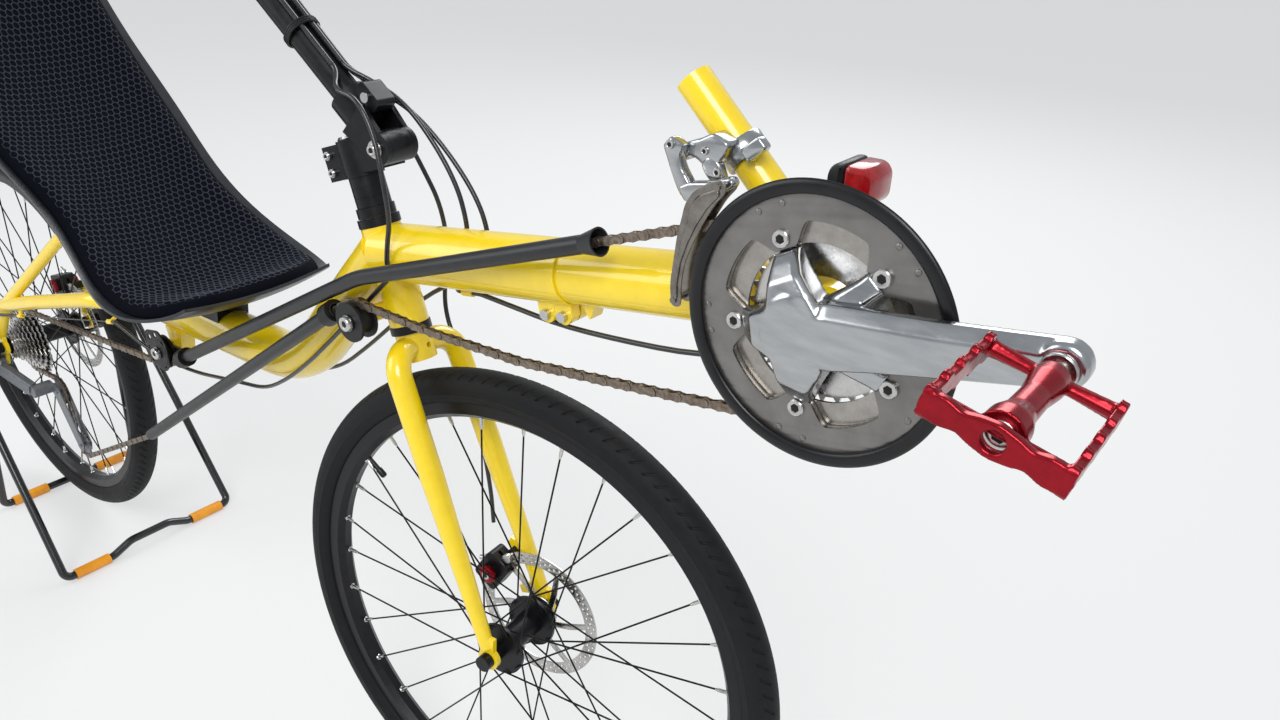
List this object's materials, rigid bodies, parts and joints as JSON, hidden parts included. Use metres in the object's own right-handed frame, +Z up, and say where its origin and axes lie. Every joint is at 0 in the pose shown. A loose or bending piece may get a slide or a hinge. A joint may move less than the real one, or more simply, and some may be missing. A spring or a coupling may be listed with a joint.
{
  "type": "recumbent bicycle",
  "caption": "Two-wheeled recumbent bicycle with a reclined shell seat, boom-mounted cranks and disc brakes, parked on a rear-axle hoop stand.",
  "frame": {"origin": "on the ground under the front axle's straight-ahead position, in the bicycle's middle plane", "axes": "+X forward, +Y to the rider's left, +Z up"},
  "size_m": [1.9912, 0.4729, 1.1382],
  "materials": {
    "black_alloy": "black anodised",
    "black_plastic": "moulded black",
    "chain_steel": "oiled steel",
    "frame_paint": "gloss yellow paint",
    "grey_alloy": "grey painted",
    "grip_rubber": "soft black rubber",
    "polished_alloy": "polished",
    "red_alloy": "red anodised",
    "red_lens": "clear red",
    "ring_alloy": "dull grey anodised",
    "seat_fabric": "black hexagonal mesh",
    "spoke_steel": "black oxide",
    "stand_steel": "black paint",
    "steel": "bright steel",
    "tyre_rubber": "black rubber",
    "yellow_plastic": "amber yellow tube"
  },
  "bodies": {
    "frame": {"main_frame": "frame_paint", "clamp_bolts": "steel", "boom": "frame_paint", "rear_stays": "frame_paint", "bracket_cups": "steel", "headset_cups": "black_alloy", "seat_shell": "black_plastic", "seat_pad": "seat_fabric", "seat_brackets": "black_alloy", "chain_tubes": "black_plastic", "idlers": "black_plastic", "stand_hoops": "stand_steel", "stand_sleeves": "yellow_plastic", "stand_holders": "black_plastic", "rear_derailleur": "grey_alloy", "front_derailleur": "polished_alloy", "lamp": "red_lens", "lamp_bracket": "black_plastic", "rear_caliper": "black_alloy", "rear_axle": "steel", "chain": "chain_steel", "rear_cables": "black_plastic", "loop_cables": "black_plastic"},
    "steering": {"fork": "frame_paint", "spacers": "black_alloy", "stem_clamp": "black_alloy", "stem_fork": "black_alloy", "stem_bolts": "steel", "riser": "black_alloy", "handlebar": "black_alloy", "grips": "grip_rubber", "brake_levers": "black_alloy", "shifters": "black_plastic", "front_caliper": "black_alloy", "front_axle": "steel", "bar_cables": "black_plastic", "front_brake_cable": "black_plastic"},
    "front_wheel": {"front_tyre": "tyre_rubber", "front_rim": "black_alloy", "front_hub": "black_alloy", "front_rotor": "steel", "front_spokes": "spoke_steel"},
    "rear_wheel": {"rear_tyre": "tyre_rubber", "rear_rim": "black_alloy", "rear_hub": "black_alloy", "rear_rotor": "steel", "rear_spokes": "spoke_steel", "cassette": "steel"},
    "crank": {"spindle": "steel", "crank_right": "polished_alloy", "crank_left": "polished_alloy", "big_ring": "ring_alloy", "middle_ring": "steel", "small_ring": "steel", "chain_guard": "black_plastic", "ring_bolts": "steel", "pedal_axle_right": "steel", "pedal_axle_left": "steel"},
    "pedal_right": {"pedal_right": "red_alloy"},
    "pedal_left": {"pedal_left": "red_alloy"}
  },
  "joints": [
    {"name": "steering_turn", "type": "hinge", "parent": "frame", "child": "steering", "pos_m": [-0.15, 0, 0.66], "axis": [-0.3338, 0, 0.9426], "range_deg": [-47.5, 32.5], "deforming": ["loop_cables"]},
    {"name": "front_wheel_spin", "type": "hinge", "parent": "steering", "child": "front_wheel", "pos_m": [-0.00022, 0.00359, 0.31867], "axis": [-0.123, 0.9914, -0.0436], "continuous": true},
    {"name": "rear_wheel_spin", "type": "hinge", "parent": "frame", "child": "rear_wheel", "pos_m": [-1.119, 0, 0.3311], "axis": [0, 1, 0], "continuous": true},
    {"name": "crank_spin", "type": "hinge", "parent": "frame", "child": "crank", "pos_m": [0.3446, 0, 0.8312], "axis": [0, 1, 0], "continuous": true},
    {"name": "pedal_right_spin", "type": "hinge", "parent": "crank", "child": "pedal_right", "pos_m": [0.51057, -0.138, 0.86799], "axis": [0, 1, 0], "continuous": true},
    {"name": "pedal_left_spin", "type": "hinge", "parent": "crank", "child": "pedal_left", "pos_m": [0.17863, 0.138, 0.79441], "axis": [0, 1, 0], "continuous": true}
  ]
}
